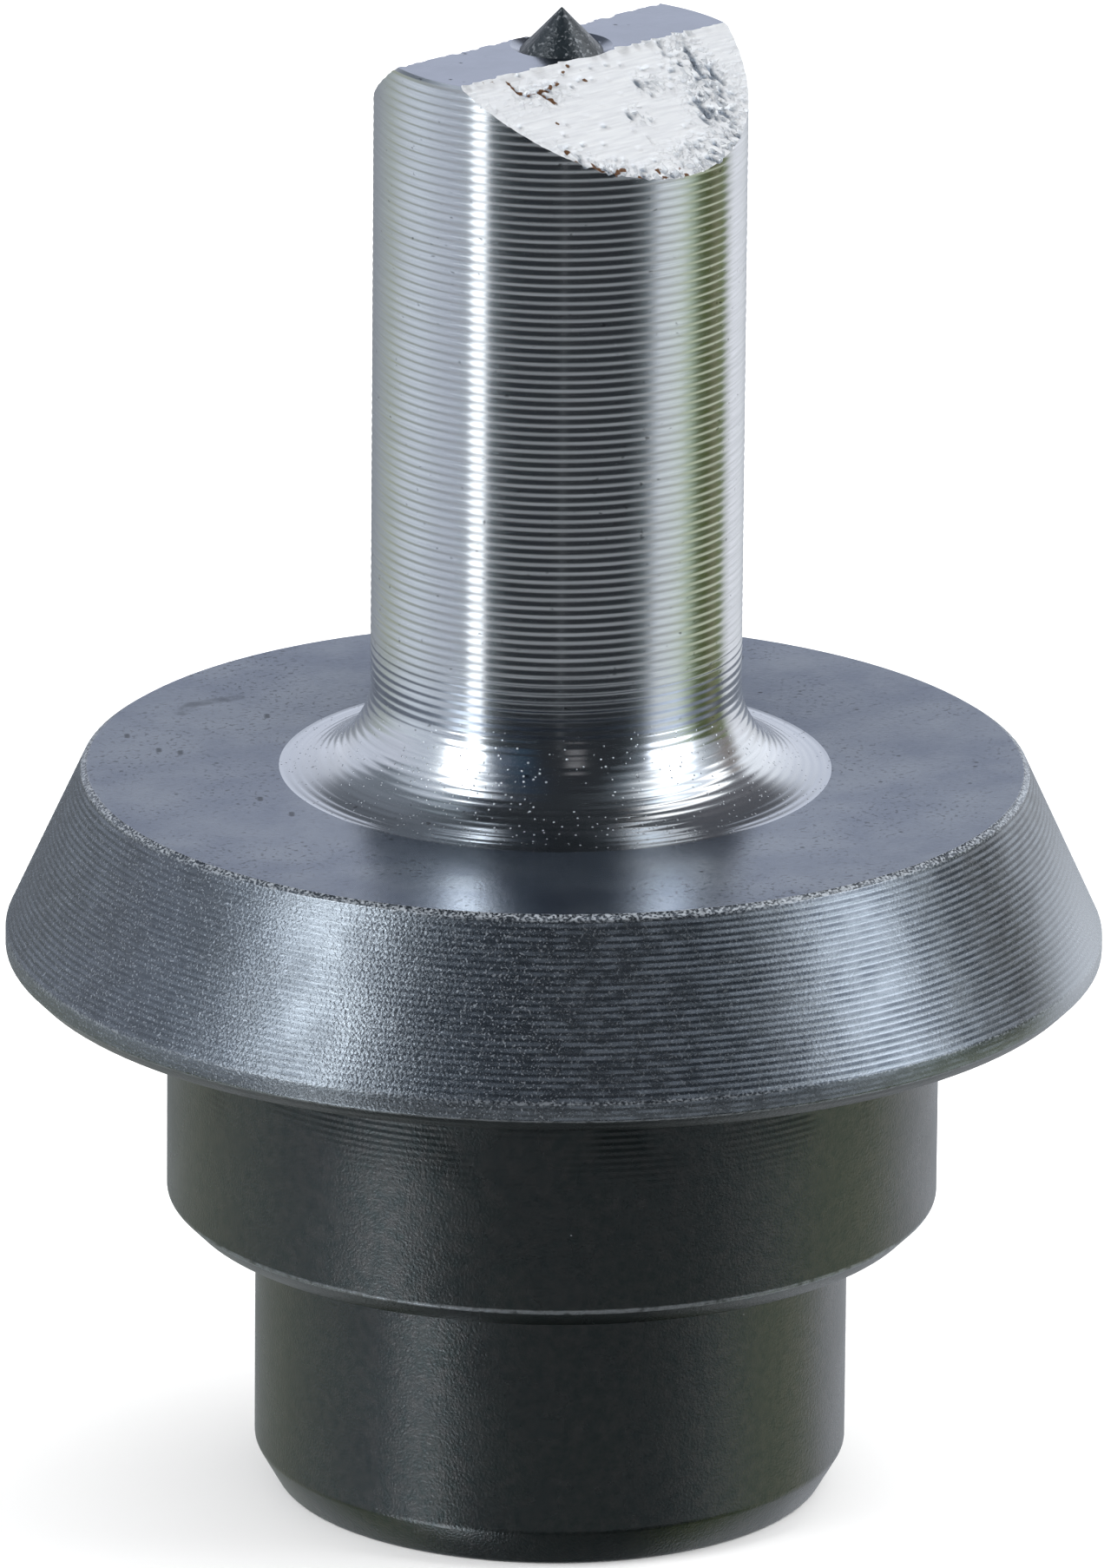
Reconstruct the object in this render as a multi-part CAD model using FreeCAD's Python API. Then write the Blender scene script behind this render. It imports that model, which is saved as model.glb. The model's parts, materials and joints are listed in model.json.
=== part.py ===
import FreeCAD, Part

import math
import os

# Piercing punch, one piece of tool steel, in millimetres.
# It stands on its base face: the origin is the centre of that face, +Z runs up the axis
# to the cutting end, and the ridge of the roof-shaped cutting end runs along X.

# Spigot: the lowest diameter, which enters the press tool first.
spigot_dia = 21.7
spigot_length = 10.4
spigot_lead_height = 1.45     # long lead chamfer round the base
spigot_lead_angle = 30.0      # of that chamfer, from the axis

# Locating body: the ground diameter under the collar.
body_dia = 28.2
body_length = 9.5
body_chamfer = 0.7            # 45 degrees, where the body steps in to the spigot
corner_radius = 0.3           # left by the tool's nose in each inside corner

# Collar: a conical head, widest at its lower rim.
collar_dia = 40.0
collar_top_dia = 34.4
cone_height = 6.1
rim_height = 0.65             # plain cylindrical land below the cone
rim_chamfer = 0.55            # 45 degrees, on the underside
collar_edge = 0.15            # broken edge round the collar's top face

# Shank: the working diameter, blended into the collar by a large fillet.
shank_dia = 13.5
shank_length = 27.2           # from the collar's top face to the ridge
root_fillet = 3.3
tip_edge = 0.1                # broken edge round the end of the shank

# Cutting end: a flat ridge with a slope ground away on each side, and a pip on the axis
# that pierces first and centres the punch.
ridge_width = 3.4
roof_angle = 34.0             # of each slope, below the ridge
pip_dia = 3.0                 # at the pip's foot, in the bottom of its relief
pip_angle = 87.0              # included angle of the pip's point
relief_width = 0.35           # shallow groove turned round the pip's foot
relief_depth = 0.16

# Heights of the main faces above the base.
spigot_top = spigot_length
collar_bottom = spigot_top + body_length
rim_bottom = collar_bottom + rim_chamfer
cone_bottom = rim_bottom + rim_height
collar_top = cone_bottom + cone_height
ridge_height = collar_top + shank_length
pip_foot = ridge_height - relief_depth

# Radii of the turned diameters.
spigot_r = spigot_dia / 2
body_r = body_dia / 2
collar_r = collar_dia / 2
collar_top_r = collar_top_dia / 2
shank_r = shank_dia / 2
pip_r = pip_dia / 2
relief_r = pip_r + relief_width


def point(radius, height):
    """A point of the half section, which lies in the XZ plane."""
    return FreeCAD.Vector(radius, 0, height)


def inside_corner(radius, height, size, towards):
    """Quarter arc in the corner where a face meets a smaller cylinder.

    The cylinder has the given radius and the face the given height. The cylinder runs
    down from the face (towards = -1) or up from it (towards = 1).
    """
    centre = point(radius + size, height + towards * size)
    reach = size * math.sqrt(0.5)
    middle = point(centre.x - reach, centre.z - towards * reach)
    on_cylinder = point(radius, centre.z)
    on_face = point(centre.x, height)
    return on_cylinder, middle, on_face


def turned_section():
    """Half section of the turned blank, walked from the base up to the pip's point."""
    lead = spigot_lead_height * math.tan(math.radians(spigot_lead_angle))
    step_corner = inside_corner(spigot_r, spigot_top, corner_radius, -1)
    collar_corner = inside_corner(body_r, collar_bottom, corner_radius, -1)
    fillet = inside_corner(shank_r, collar_top, root_fillet, 1)
    pip_top = pip_foot + pip_r / math.tan(math.radians(pip_angle / 2))

    cone_slope = (collar_r - collar_top_r) / cone_height
    edge_on_cone = point(collar_top_r + collar_edge * cone_slope, collar_top - collar_edge)
    edge_on_top = point(collar_top_r - collar_edge, collar_top)

    walk = [
        point(0, 0),
        point(spigot_r - lead, 0),
        point(spigot_r, spigot_lead_height),
        step_corner,
        point(body_r - body_chamfer, spigot_top),
        point(body_r, spigot_top + body_chamfer),
        collar_corner,
        point(collar_r - rim_chamfer, collar_bottom),
        point(collar_r, rim_bottom),
        point(collar_r, cone_bottom),
        edge_on_cone,
        edge_on_top,
        fillet[::-1],
        point(shank_r, ridge_height - tip_edge),
        point(shank_r - tip_edge, ridge_height),
        point(relief_r, ridge_height),
        point(pip_r, pip_foot),
        point(0, pip_top),
    ]

    edges = []
    last = walk[0]
    for step in walk[1:] + walk[:1]:
        if isinstance(step, tuple):
            start, middle, end = step
            edges.append(Part.LineSegment(last, start).toShape())
            edges.append(Part.Arc(start, middle, end).toShape())
        else:
            end = step
            edges.append(Part.LineSegment(last, end).toShape())
        last = end
    return Part.Face(Part.Wire(edges))


def turned_blank():
    """The whole blank with its pip, turned about Z."""
    return turned_section().revolve(FreeCAD.Vector(0, 0, 0), FreeCAD.Vector(0, 0, 1), 360)


def slope_cutter(side):
    """The wedge of metal ground away on one side of the ridge (side is -1 or 1)."""
    ridge_edge = side * ridge_width / 2
    reach = shank_dia
    outer_edge = ridge_edge + side * reach
    drop = reach * math.tan(math.radians(roof_angle))
    corners = [
        FreeCAD.Vector(-shank_dia, ridge_edge, ridge_height),
        FreeCAD.Vector(-shank_dia, outer_edge, ridge_height - drop),
        FreeCAD.Vector(-shank_dia, outer_edge, ridge_height + reach),
        FreeCAD.Vector(-shank_dia, ridge_edge, ridge_height + reach),
    ]
    wedge = Part.Face(Part.makePolygon(corners + corners[:1]))
    return wedge.extrude(FreeCAD.Vector(2 * shank_dia, 0, 0))


def punch():
    """The finished punch: the turned blank with its two slopes ground."""
    ground = turned_blank()
    for side in (-1, 1):
        ground = ground.cut(slope_cutter(side))
    return ground.removeSplitter()


model = punch()
os.makedirs("parts", exist_ok=True)
model.Solids[0].exportStep("parts/punch.step")
box = model.BoundBox
print("solids", len(model.Solids), "valid", model.isValid(), "volume mm3", round(model.Volume, 1))
print("overall mm", round(box.XLength, 2), round(box.YLength, 2), round(box.ZLength, 2))
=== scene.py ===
# %% [markdown]
# A piercing punch starts as a bar of tool steel in a lathe. The lathe leaves fine rings on
# the shank and on the cone, a grinding wheel then cuts the roof-shaped end, and hardening
# leaves the lower body nearly black. This lesson makes the punch in the same order: turn
# the outline, grind the two slopes, then give each zone of the surface its own finish.
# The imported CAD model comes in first, and every size is taken from it where it states one.

# %% Load the frame
import json
import math

import bpy
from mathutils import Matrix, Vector, noise


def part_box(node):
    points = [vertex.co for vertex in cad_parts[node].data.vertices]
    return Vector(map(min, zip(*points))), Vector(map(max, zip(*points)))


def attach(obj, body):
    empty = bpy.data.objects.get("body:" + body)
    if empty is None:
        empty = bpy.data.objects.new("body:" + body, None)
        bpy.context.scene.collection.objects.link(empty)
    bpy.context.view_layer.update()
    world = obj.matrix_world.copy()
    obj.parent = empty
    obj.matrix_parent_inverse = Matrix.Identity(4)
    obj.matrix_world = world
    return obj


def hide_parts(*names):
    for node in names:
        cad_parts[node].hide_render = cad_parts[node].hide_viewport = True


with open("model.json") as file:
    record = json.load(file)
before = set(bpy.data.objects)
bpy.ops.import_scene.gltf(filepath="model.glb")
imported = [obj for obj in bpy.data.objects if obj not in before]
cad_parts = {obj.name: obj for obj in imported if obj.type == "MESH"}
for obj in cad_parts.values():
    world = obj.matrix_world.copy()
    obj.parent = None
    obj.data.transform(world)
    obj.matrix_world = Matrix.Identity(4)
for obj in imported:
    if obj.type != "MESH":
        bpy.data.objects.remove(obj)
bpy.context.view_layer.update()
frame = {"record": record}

MM = 0.001
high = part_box("punch")[1]     # the upper corner of the CAD solid's box
mounts = {mount["name"]: mount for mount in frame["record"]["mounts"]}


def mount_radius(name):
    return mounts[name]["dims"]["r_mm"] * MM


shank_r = mount_radius("shank")
body_r = mount_radius("locating_body")
spigot_r = mount_radius("spigot")
collar_r = high.x
pip_top = high.z
collar_top = mounts["collar_cone"]["pos_m"][2]
print(f"punch {pip_top / MM:.2f} mm high, collar {2 * collar_r / MM:.1f} mm across")

# %% [markdown]
# A turned part is a profile spun round an axis, so the first thing to settle is the
# profile. The heights and edges below are those of the CAD solid. Two sets of turning
# marks are real geometry here, because they catch the light in long rings: the open ones
# of the shank and fillet, and the finer ones of the cone. Their feed is how far the tool
# moved in one turn, and a round-nosed tool at that feed leaves about this depth.

# %% Sizes of the profile
collar_top_r = 17.2 * MM
collar_edge = 0.15 * MM
cone_bottom = collar_top - 6.1 * MM
rim_bottom = cone_bottom - 0.65 * MM
rim_chamfer = 0.55 * MM
collar_bottom = rim_bottom - rim_chamfer
spigot_top = collar_bottom - 9.5 * MM
body_chamfer = 0.7 * MM
corner_r = 0.3 * MM
lead_height = 1.45 * MM
lead_width = lead_height * math.tan(math.radians(30))
root_fillet = 3.3 * MM
ridge_height = collar_top + 27.2 * MM
ridge_half = 1.7 * MM
roof_angle = math.radians(34)
tip_edge = 0.1 * MM
pip_r = 1.5 * MM
relief_r = pip_r + 0.35 * MM
pip_foot = ridge_height - 0.16 * MM
corner_break = 0.06 * MM      # the small break of every turned corner
base_ring = 0.4 * MM          # how far inside the base's edge an extra ring of points lies
rim_low = Vector((collar_r, rim_bottom))
rim_high = Vector((collar_r, cone_bottom))
cone_top = Vector((collar_top_r, collar_top))

shank_feed = 0.327 * MM
shank_groove = 0.017 * MM
cone_feed = 0.249 * MM
cone_groove = 0.021 * MM
segments = 144
print("rings on the shank:", round((ridge_height - collar_top - root_fillet) / shank_feed))

# %% [markdown]
# The profile is walked from the base up to the pip, like the path of the lathe tool. On a
# plain face it needs only its corners. Where the tool left rings, each ring gets four
# points: a crest that keeps the nominal size, the bottom of the groove, and the middle of
# each flank, where smooth shading then sees the flank's full slope. The flank that faces
# down is the longer one, and it is the one that shows as a light line.

# %% Grooves and corners of the profile
GROOVE_PHASES = ((0.0, 0.0), (0.21, 0.5), (0.42, 1.0), (0.71, 0.5))
CORNER_STEPS = 4


def ringed(place, length, feed, depth):
    """Points along a stretch of profile, with a groove in each turn of feed.

    place(s) gives the point and its inward direction at the distance s along it.
    """
    turns = round(length / feed)
    points = []
    for turn in range(turns):
        for phase, share in GROOVE_PHASES:
            at, inward = place((turn + phase) * length / turns)
            points.append(at + inward * depth * share)
    points.append(place(length)[0])
    return points


def ringed_line(start, end, feed, depth):
    """A straight stretch with grooves; the metal is on its left."""
    along = (end - start).normalized()
    inward = Vector((-along.y, along.x))
    return ringed(lambda s: (start + along * s, inward), (end - start).length, feed, depth)


def ringed_fillet(centre, radius, feed, depth):
    """An inside fillet with grooves, from its foot up; the metal is away from its centre."""
    def place(s):
        angle = -math.pi / 2 - s / radius
        outward = Vector((math.cos(angle), math.sin(angle)))
        return centre + outward * radius, outward
    return ringed(place, radius * math.pi / 2, feed, depth)


def inside_corner(radius, height):
    """The small round where a wall of a radius meets the underside of the step above it."""
    centre = Vector((radius + corner_r, height - corner_r))
    angles = [math.pi - math.pi / 2 * i / CORNER_STEPS for i in range(CORNER_STEPS + 1)]
    return [centre + corner_r * Vector((math.cos(a), math.sin(a))) for a in angles]


def rounded(corner, before, after, size):
    """A corner of the profile with its sharp edge taken off, as a short curve."""
    start = corner + (before - corner).normalized() * size
    end = corner + (after - corner).normalized() * size
    return [start.lerp(corner, t).lerp(corner.lerp(end, t), t) for t in (0.0, 0.5, 1.0)]


print("points in a groove:", len(GROOVE_PHASES))

# %% [markdown]
# The walk is written in two parts that meet at the collar's rim. The lower part is the
# clamped end: base, lead chamfer, spigot, body and rim, all plain. The upper part is what
# the tool has ringed: cone, root fillet and shank, then the flat that becomes the ridge,
# the shallow relief round the pip, and the pip.

# %% Walk the profile
def lower_profile():
    base = Vector((spigot_r - lead_width, 0))
    lead_end = Vector((spigot_r, lead_height))
    step = Vector((body_r - body_chamfer, spigot_top))
    step_end = Vector((body_r, spigot_top + body_chamfer))
    rim_start = Vector((collar_r - rim_chamfer, collar_bottom))
    points = [Vector((0, 0)), Vector((base.x - base_ring, 0))]
    points += rounded(base, Vector((0, 0)), lead_end, 2 * corner_break)
    points += rounded(lead_end, base, Vector((spigot_r, spigot_top)), 2 * corner_break)
    points += inside_corner(spigot_r, spigot_top)
    points += rounded(step, Vector((0, spigot_top)), step_end, corner_break)
    points += rounded(step_end, step, Vector((body_r, collar_bottom)), corner_break)
    points += inside_corner(body_r, collar_bottom)
    points += rounded(rim_start, Vector((0, collar_bottom)), rim_low, corner_break)
    points += rounded(rim_low, rim_start, rim_high, corner_break)
    return points


def upper_profile():
    up_the_cone = (cone_top - rim_high).normalized()
    cone_start = rim_high + up_the_cone * 2 * corner_break
    cone_end = cone_top - up_the_cone * collar_edge
    fillet_centre = Vector((shank_r + root_fillet, collar_top + root_fillet))
    shank_start = Vector((shank_r, fillet_centre.y))
    shank_end = Vector((shank_r, ridge_height - tip_edge))
    points = rounded(rim_high, rim_low, cone_top, corner_break)
    points += ringed_line(cone_start, cone_end, cone_feed, cone_groove)
    points += [cone_top - Vector((collar_edge, 0))]
    points += ringed_fillet(fillet_centre, root_fillet, shank_feed, shank_groove)[:-1]
    points += ringed_line(shank_start, shank_end, shank_feed, shank_groove)
    points += [Vector((shank_r - tip_edge, ridge_height))]
    points += [Vector((relief_r, ridge_height)), Vector((pip_r, pip_foot))]
    points += [Vector((corner_break, pip_top - 0.8 * corner_break)), Vector((0, pip_top))]
    return points


profile = lower_profile() + upper_profile()
print("profile points:", len(profile))

# %% [markdown]
# In Blender the walk is an edge chain: a plane is added, its corners are merged into one
# point, and that point is extruded from place to place. The spin operator then turns the
# chain through a full circle, which is what the lathe does with the bar. Merging by
# distance closes the seam and the two poles, and the normals are made to point outwards.

# %% Turn the blank
MERGE_DISTANCE = 0.0005 * MM


def deselect_all():
    bpy.ops.object.select_all(action="DESELECT")


def turn_blank():
    deselect_all()
    bpy.ops.mesh.primitive_plane_add(size=1 * MM)
    blank = bpy.context.object
    blank.name = "punch_steel"
    blank.data.name = "punch_steel"
    bpy.ops.object.mode_set(mode="EDIT")
    bpy.ops.mesh.select_all(action="SELECT")
    bpy.ops.mesh.merge(type="CENTER")
    last = Vector((0, 0))
    for at in profile[1:]:
        move = at - last
        bpy.ops.mesh.extrude_region_move(TRANSFORM_OT_translate={"value": (move.x, 0, move.y)})
        last = at
    bpy.ops.mesh.select_all(action="SELECT")
    bpy.ops.mesh.spin(steps=segments, angle=2 * math.pi, center=(0, 0, 0), axis=(0, 0, 1))
    bpy.ops.mesh.select_all(action="SELECT")
    bpy.ops.mesh.remove_doubles(threshold=MERGE_DISTANCE)
    bpy.ops.mesh.normals_make_consistent(inside=False)
    bpy.ops.object.mode_set(mode="OBJECT")
    return blank


punch = turn_blank()
print("turned blank:", len(punch.data.polygons), "faces")

# %% [markdown]
# The roof-shaped end is ground with the wheel tilted, one side after the other, and the
# wheel doesn't leave a perfect plane. It tears a ragged edge along the ridge, drags gouges
# down the slope, and uncovers pits. Places on a slope are given here as two numbers in
# millimetres: along the ridge, and down the slope from its edge. The long gouges and the
# single pits are listed one by one, and noise fills in the smaller ones round them.

# %% Marks of wear on the slopes
GOUGES = [                    # from, to, width and depth
    ((4.1, 0.4), (3.8, 2.0), 0.10, 0.11),
    ((4.3, 1.6), (4.4, 2.6), 0.09, 0.10),
    ((3.6, 2.5), (4.5, 3.1), 0.05, 0.05),
    ((4.5, 3.1), (4.7, 3.6), 0.05, 0.04),
    ((2.7, 3.0), (2.8, 3.8), 0.13, 0.12),
    ((2.4, 3.7), (2.5, 4.1), 0.09, 0.08),
    ((3.4, 3.8), (3.6, 4.4), 0.08, 0.08),
    ((3.1, 0.1), (2.9, 0.7), 0.07, 0.08),
    ((0.9, 1.6), (0.9, 2.0), 0.09, 0.09),
    ((-0.5, 2.7), (-0.5, 3.1), 0.09, 0.09),
]
PITS = [
    (2.4, 1.2), (2.8, 1.5), (2.4, 1.8), (2.1, 2.2), (4.3, 0.2), (1.3, 1.7), (-0.2, 2.9),
    (0.9, 4.7), (1.4, 5.0), (2.1, 5.0), (1.6, 4.7), (0.8, 5.1), (1.3, 5.5),
    (-0.9, 5.1), (-1.9, 5.1), (-2.4, 5.0), (-0.9, 5.6), (-1.4, 0.2), (-1.9, 0.5), (-1.3, 0.9),
]
ROUGH_PATCHES = [             # centre, reach along and down, and strength
    ((3.8, 1.6), (0.9, 1.4), 1.0),
    ((3.2, 3.6), (0.9, 1.0), 1.0),
    ((1.3, 1.8), (0.6, 0.5), 0.7),
    ((-0.1, 3.0), (0.5, 0.4), 0.7),
    ((-3.5, 1.1), (1.4, 0.6), 0.5),
    ((1.2, 5.0), (1.4, 0.5), 0.6),
]
RUST_CRACKS = [
    ((-4.4, 0.3), (-4.3, 0.8)), ((-4.3, 0.8), (-4.1, 1.0)), ((-4.1, 1.0), (-3.4, 1.0)),
    ((-3.4, 1.0), (-3.3, 1.3)), ((-3.3, 1.3), (-3.1, 1.7)), ((-3.4, 1.0), (-3.0, 1.0)),
    ((-3.0, 1.0), (-2.4, 0.8)),
]
RUST_SPOTS = [
    (-4.4, 0.2), (-4.3, 0.8), (-3.5, 1.0), (-3.1, 1.7), (-1.8, 0.4), (-1.4, 0.2), (-1.1, 0.5),
    (-1.2, 1.0), (-5.4, 0.0), (-5.0, 0.1), (-3.7, 2.5),
]
CRUMBLED_SPAN = (-4.4, 3.4)   # along the slope's lower edge, where it is crumbled
RUSTY_SPAN = (-4.3, 0.3)      # and the part of that edge which has rusted
print(len(GOUGES), "gouges,", len(PITS), "pits,", len(RUST_CRACKS), "rusty cracks")

# %% [markdown]
# Each mark now becomes a depth. A bell curve spreads it about its line or point, which
# gives it soft flanks, and noise makes its outline wander. The same marks say where the
# steel is torn and where it has rusted, so shape and colour can't drift apart.

# %% Depth of the wear, and rust
CRUMBLED_REACH = 0.45         # this and the next sizes are in mm
TORN_DEPTH = 0.26
STRAY_DEPTH = 0.25
PIT_WIDTH = 0.10
PIT_DEPTH = 0.07
CRACK_WIDTH = 0.08
CRACK_DEPTH = 0.05
TOOTH_REACH = 0.22
TOOTH_DEPTH = 0.24
RUSTY_CRACK_WIDTH = 0.12
RUST_SPOT_WIDTH = 0.13


def off_segment(at, start, end):
    """Distance of a place from a short straight mark."""
    at, start, end = Vector(at), Vector(start), Vector(end)
    run = end - start
    share = max(0.0, min(1.0, (at - start).dot(run) / run.length_squared))
    return (at - start - run * share).length


def bell(distance, width):
    return math.exp(-(distance / width) ** 2)


def crumbled(at):
    """How near a place is to the crumbled part of the slope's lower edge, from 0 to 1."""
    radius = math.hypot(at[0], ridge_half / MM + at[1] * math.cos(roof_angle))
    inside = 1.0 if CRUMBLED_SPAN[0] < at[0] < CRUMBLED_SPAN[1] else 0.2
    return inside * bell(max(shank_r / MM - radius, 0.0), CRUMBLED_REACH)


def torn_share(at):
    """How torn the slope is at a place, from 0 on clean ground steel to about 1."""
    total = 0.9 * crumbled(at)
    for centre, reach, strength in ROUGH_PATCHES:
        away = math.hypot((at[0] - centre[0]) / reach[0], (at[1] - centre[1]) / reach[1])
        total += strength * bell(away, 1.0)
    return total


def wear_depth(at, side):
    """How far the slope lies below its ideal plane at a place, in mm."""
    along, down = at
    seed = 7.3 * side
    depth = 0.006 + 0.004 * noise.noise(Vector((along * 0.5, down * 5.0, seed)))
    torn = max(0.0, noise.noise(Vector((along * 5.0, down * 3.6, seed))) - 0.05)
    depth += TORN_DEPTH * torn_share(at) * torn
    stray = max(0.0, noise.noise(Vector((along * 3.1, down * 3.1, seed + 4.0))) - 0.42)
    depth += STRAY_DEPTH * stray
    for start, end, width, deep in GOUGES:
        wander = 0.08 * noise.noise(Vector((along * 3, down * 3, 2.0)))
        depth += deep * bell(off_segment(at, start, end) + wander, width)
    for pit in PITS:
        depth += PIT_DEPTH * bell(math.dist(at, pit), PIT_WIDTH)
    for start, end in RUST_CRACKS:
        depth += CRACK_DEPTH * bell(off_segment(at, start, end), CRACK_WIDTH)
    return depth


def teeth(at, side):
    """How far the edge of the ridge is torn down into the slope at a place, in mm."""
    along, down = at
    ragged = max(0.0, noise.noise(Vector((along * 2.8, 0.0, 7.3 * side + 9.0))) + 0.1)
    return TOOTH_DEPTH * ragged * bell(max(down, 0.0), TOOTH_REACH)


def rust(at):
    """How rusty the slope is at a place, from 0 to 1."""
    wander = 0.05 * noise.noise(Vector((at[0] * 4, at[1] * 4, 5.0)))
    off_cracks = [off_segment(at, start, end) for start, end in RUST_CRACKS]
    crack = max(bell(off + wander, RUSTY_CRACK_WIDTH) for off in off_cracks)
    spot = max(bell(math.dist(at, spot), RUST_SPOT_WIDTH) for spot in RUST_SPOTS)
    speckled = 0.5 + 2.0 * noise.noise(Vector((at[0] * 3.2, at[1] * 3.2, 11.0)))
    edge = crumbled(at) * speckled if RUSTY_SPAN[0] < at[0] < RUSTY_SPAN[1] else 0.0
    return max(0.0, min(1.0, max(crack, spot, edge)))


print(f"wear in the middle of the near slope: {wear_depth((0.0, 2.0), -1):.3f} mm")

# %% [markdown]
# The cutter is a block whose lower face is a fine grid in the slope's plane. The grid is
# added as a primitive, its points are put in place and pushed into the metal by the wear,
# and its rim is extruded upwards and capped, so that the block is closed. The far slope has
# the same kind of wear turned end for end. A Boolean modifier takes each block away from
# the blank, and gives the new faces the block's own material, which marks them as ground.

# %% Grind the two slopes
SLOPE_REACH = 6.7             # how far the cutter runs down the slope, in mm
SLOPE_HALF = 7.1              # and each way along the ridge
RIDGE_OVERLAP = 0.26          # and over the edge of the ridge, where the edge is ragged
GRID_STEP = 0.085
CUTTER_HEIGHT = 9 * MM


def on_slope(along, down, depth, side):
    """The point of a slope at a place, with the given depth below its ideal plane."""
    level = down * MM * math.cos(roof_angle) - depth * MM * math.sin(roof_angle)
    fall = down * MM * math.sin(roof_angle) + depth * MM * math.cos(roof_angle)
    return Vector((along * MM, side * (ridge_half + level), ridge_height - fall))


def place_on_slope(point, side):
    """The place on a slope above or below a point: along the ridge and down the slope, in mm."""
    out = side * point.y - ridge_half
    fall = ridge_height - point.z
    return point.x / MM, (out * math.cos(roof_angle) + fall * math.sin(roof_angle)) / MM


def turned_end_for_end(at, side):
    """The wear of the far slope is the near one's, turned about the punch's axis."""
    return (-side * at[0], at[1])


def make_cutter(side):
    deselect_all()
    columns = round(2 * SLOPE_HALF / GRID_STEP)
    rows = round((SLOPE_REACH + RIDGE_OVERLAP) / GRID_STEP)
    bpy.ops.mesh.primitive_grid_add(x_subdivisions=columns, y_subdivisions=rows, size=2)
    cutter = bpy.context.object
    for vertex in cutter.data.vertices:
        along = vertex.co.x * SLOPE_HALF
        down = (vertex.co.y + 1) / 2 * (SLOPE_REACH + RIDGE_OVERLAP) - RIDGE_OVERLAP
        worn_at = turned_end_for_end((along, down), side)
        vertex.co = on_slope(along, down, wear_depth(worn_at, side) + teeth(worn_at, side), side)
    bpy.ops.object.mode_set(mode="EDIT")
    bpy.ops.mesh.select_all(action="DESELECT")
    bpy.ops.mesh.select_mode(type="EDGE")
    bpy.ops.mesh.select_non_manifold()
    bpy.ops.mesh.extrude_region_move(TRANSFORM_OT_translate={"value": (0, 0, CUTTER_HEIGHT)})
    bpy.ops.mesh.edge_face_add()
    bpy.ops.mesh.select_all(action="SELECT")
    bpy.ops.mesh.normals_make_consistent(inside=False)
    bpy.ops.object.mode_set(mode="OBJECT")
    return cutter


def named_material(name):
    material = bpy.data.materials.new(name)
    material.use_nodes = True
    return material


turned_steel = named_material("turned_steel")
ground_steel = named_material("ground_steel")
punch.data.materials.append(turned_steel)
for side in (-1, 1):
    wheel = make_cutter(side)
    wheel.data.materials.append(ground_steel)
    deselect_all()
    bpy.context.view_layer.objects.active = punch
    punch.select_set(True)
    grind = punch.modifiers.new("grind", "BOOLEAN")
    grind.operation = "DIFFERENCE"
    grind.solver = "EXACT"
    grind.material_mode = "TRANSFER"
    grind.object = wheel
    bpy.ops.object.modifier_apply(modifier="grind")
    bpy.data.objects.remove(wheel)
print("ground punch:", len(punch.data.polygons), "faces")

# %% [markdown]
# One piece of steel carries seven finishes, so the faces are sorted into zones by their
# height and radius. The bright turned zone ends in a crisp circle where the fillet meets
# the collar, and the dark oxide begins below the cone. Smooth shading comes last: it keeps
# an edge sharp wherever two faces meet at more than a set angle, which includes the edges of
# the ridge, and blends the rest. The level faces of the ridge stay flat-shaded, because
# the shallow relief round the pip would otherwise lean their light to one side.

# %% Sort the faces into zones
ZONES = [
    "turned_steel", "ground_steel", "ridge_steel", "pip_steel", "collar_steel", "cone_steel",
    "dark_oxide",
]
for name in ZONES[2:]:
    punch.data.materials.append(named_material(name))
finish = {name: bpy.data.materials[name] for name in ZONES}
SLIVER = 0.01 * MM
SHARP_ANGLE = math.radians(28)


def zone_of(centre):
    radius = math.hypot(centre.x, centre.y)
    if centre.z < rim_bottom + SLIVER:
        return "dark_oxide"
    if centre.z < collar_top - SLIVER and radius > shank_r + root_fillet:
        return "cone_steel"
    if centre.z < collar_top + SLIVER and radius > shank_r + root_fillet - SLIVER:
        return "collar_steel"
    if radius < pip_r and centre.z > pip_foot:
        return "pip_steel"
    if centre.z > ridge_height - SLIVER or radius < relief_r:
        return "ridge_steel"
    return "turned_steel"


for face in punch.data.polygons:
    if face.material_index != ZONES.index("ground_steel"):
        face.material_index = ZONES.index(zone_of(face.center))
deselect_all()
punch.select_set(True)
bpy.context.view_layer.objects.active = punch
bpy.ops.object.shade_smooth_by_angle(angle=SHARP_ANGLE)
for face in punch.data.polygons:
    if face.center.z > ridge_height - SLIVER and math.hypot(face.center.x, face.center.y) > pip_r:
        face.use_smooth = False
print({name: sum(f.material_index == i for f in punch.data.polygons) for i, name in enumerate(ZONES)})

# %% [markdown]
# The slopes' pits and rust are part of their shape, so the painted shade in the pits and the
# colour of the rust have to follow it. Three attributes hold, for each point, how deep the
# wear is, how torn the steel is round it and how rusty it is. The material of the slopes
# then reads them.

# %% Store the wear on the mesh
WEAR_LIMIT = ridge_height - 5 * MM    # both slopes end above this height


def store_wear():
    deep = punch.data.attributes.new("wear_depth", "FLOAT", "POINT")
    torn = punch.data.attributes.new("torn", "FLOAT", "POINT")
    rusty = punch.data.attributes.new("rust", "FLOAT", "POINT")
    stored = 0
    for vertex in punch.data.vertices:
        if vertex.co.z < WEAR_LIMIT:
            continue
        side = 1 if vertex.co.y > 0 else -1
        along, down = place_on_slope(vertex.co, side)
        if down > -RIDGE_OVERLAP:
            at = turned_end_for_end((along, down), side)
            deep.data[vertex.index].value = wear_depth(at, side)
            torn.data[vertex.index].value = torn_share(at)
            rusty.data[vertex.index].value = rust(at)
            stored += 1
    return stored


print("points with wear:", store_wear())

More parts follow.
